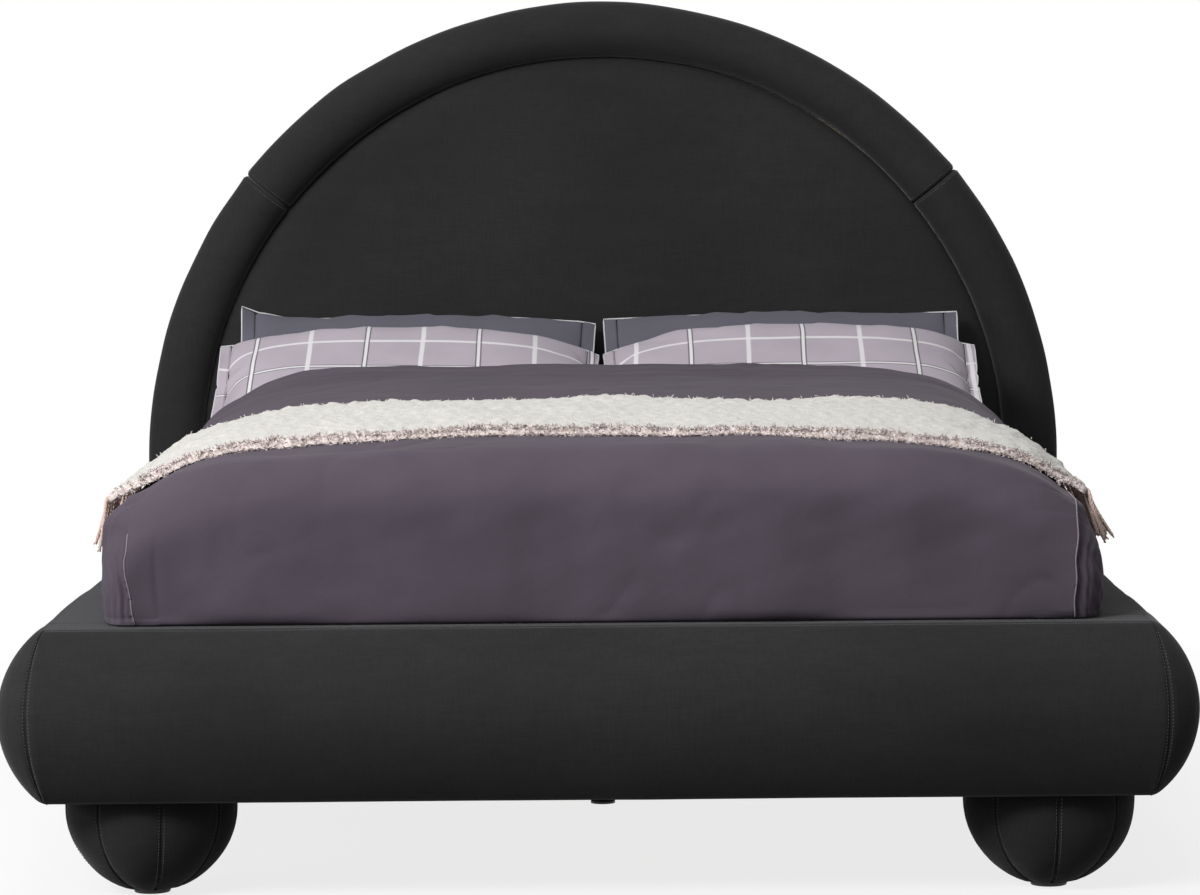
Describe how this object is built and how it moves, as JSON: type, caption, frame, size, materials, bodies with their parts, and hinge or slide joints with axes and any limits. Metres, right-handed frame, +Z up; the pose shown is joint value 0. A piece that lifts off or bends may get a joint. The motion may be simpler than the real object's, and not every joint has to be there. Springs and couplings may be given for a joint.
{
  "type": "upholstered bed",
  "caption": "Velvet bed with an arched padded headboard, bulging padded rails and ball feet, with slats, mattress, duvet, throw and pillows.",
  "frame": {"origin": "On the floor, below the middle of the bed's overall length and width.", "axes": "+X to the right seen from the foot end, +Y from the footboard to the headboard, +Z up."},
  "size_m": [1.876, 2.331, 1.484],
  "materials": {
    "velvet": "charcoal short-pile velvet",
    "plywood": "sawn birch plywood",
    "pine": "planed pine",
    "foam": "polyurethane foam",
    "steel_black": "satin black powder coat",
    "steel_zinc": "zinc plated",
    "brass_insert": "plain turned brass",
    "black_plastic": "moulded matt plastic",
    "ticking": "quilted knitted ticking",
    "edge_cord": "woven tape over cord",
    "duvet_cloth": "slate cotton sateen",
    "throw_cloth": "long-pile wool with a twisted fringe",
    "dark_cotton": "dark slate cotton with pale piping",
    "check_cotton": "pale lilac cotton with a windowpane check"
  },
  "bodies": {
    "bed_frame": {"headboard_face_board": "plywood", "headboard_back_board": "plywood", "headboard_posts": "pine", "headboard_cross_rails": "pine", "headboard_rim": "plywood", "headboard_mount_rail": "plywood", "headboard_panel": "velvet", "headboard_border_left": "velvet", "headboard_border_top": "velvet", "headboard_border_right": "velvet", "headboard_back_cover": "velvet", "footboard_board": "plywood", "footboard_foam": "foam", "footboard_cover": "velvet", "side_board_left": "plywood", "side_foam_left": "foam", "side_cover_left": "velvet", "side_board_right": "plywood", "side_foam_right": "foam", "side_cover_right": "velvet", "ledger_left": "pine", "ledger_right": "pine", "corner_blocks": "plywood", "corner_brackets": "steel_black", "threaded_inserts": "brass_insert", "frame_bolts": "steel_zinc", "foot_cover_front_left": "velvet", "foot_cover_front_right": "velvet", "foot_cover_rear_left": "velvet", "foot_cover_rear_right": "velvet", "foot_cores": "pine", "foot_studs": "steel_zinc", "foot_glides": "black_plastic", "glide_screws": "steel_zinc", "slats": "pine", "slat_screws": "steel_zinc", "centre_beam": "pine", "beam_hangers": "steel_black", "centre_legs": "steel_black", "leg_plugs": "black_plastic"},
    "mattress": {"mattress_core": "foam", "mattress_cover": "ticking", "mattress_edge_cords": "edge_cord"},
    "duvet": {"duvet": "duvet_cloth"},
    "throw": {"throw": "throw_cloth"},
    "pillow_rear_left": {"pillow_rear_left": "dark_cotton"},
    "pillow_rear_right": {"pillow_rear_right": "dark_cotton"},
    "pillow_front_left": {"pillow_front_left": "check_cotton"},
    "pillow_front_right": {"pillow_front_right": "check_cotton"},
    "leveller_pad_front": {"leveller_pad_front": "black_plastic"},
    "leveller_stem_front": {"leveller_stem_front": "steel_zinc"},
    "leveller_pad_rear": {"leveller_pad_rear": "black_plastic"},
    "leveller_stem_rear": {"leveller_stem_rear": "steel_zinc"}
  },
  "joints": [
    {"name": "mattress_lift", "type": "slide", "parent": "bed_frame", "child": "mattress", "axis": [0, 0, 1], "range_m": [0, 0.2]},
    {"name": "duvet_lift", "type": "slide", "parent": "mattress", "child": "duvet", "axis": [0, 0, 1], "range_m": [0, 0.2]},
    {"name": "throw_lift", "type": "slide", "parent": "duvet", "child": "throw", "axis": [0, 0, 1], "range_m": [0, 0.2]},
    {"name": "pillow_rear_left_lift", "type": "slide", "parent": "mattress", "child": "pillow_rear_left", "axis": [0, 0, 1], "range_m": [0, 0.15]},
    {"name": "pillow_rear_right_lift", "type": "slide", "parent": "mattress", "child": "pillow_rear_right", "axis": [0, 0, 1], "range_m": [0, 0.15]},
    {"name": "pillow_front_left_lift", "type": "slide", "parent": "pillow_rear_left", "child": "pillow_front_left", "axis": [0, 0, 1], "range_m": [0, 0.15]},
    {"name": "pillow_front_right_lift", "type": "slide", "parent": "pillow_rear_right", "child": "pillow_front_right", "axis": [0, 0, 1], "range_m": [0, 0.15]},
    {"name": "leveller_front_turn", "type": "hinge", "parent": "leveller_pad_front", "child": "leveller_stem_front", "pos_m": [0, 0, 0.03], "axis": [0, 0, 1], "range_deg": [0, 2880]},
    {"name": "leveller_front_rise", "type": "slide", "parent": "bed_frame", "child": "leveller_pad_front", "axis": [0, 0, 1], "range_m": [0, 0.01]},
    {"name": "leveller_rear_turn", "type": "hinge", "parent": "leveller_pad_rear", "child": "leveller_stem_rear", "pos_m": [0, 0.52, 0.03], "axis": [0, 0, 1], "range_deg": [0, 2880]},
    {"name": "leveller_rear_rise", "type": "slide", "parent": "bed_frame", "child": "leveller_pad_rear", "axis": [0, 0, 1], "range_m": [0, 0.01]}
  ],
  "couplings": [
    {"joint": "leveller_front_rise", "follows": "leveller_front_turn", "m_per_rad": 0.00019894},
    {"joint": "leveller_rear_rise", "follows": "leveller_rear_turn", "m_per_rad": 0.00019894}
  ]
}
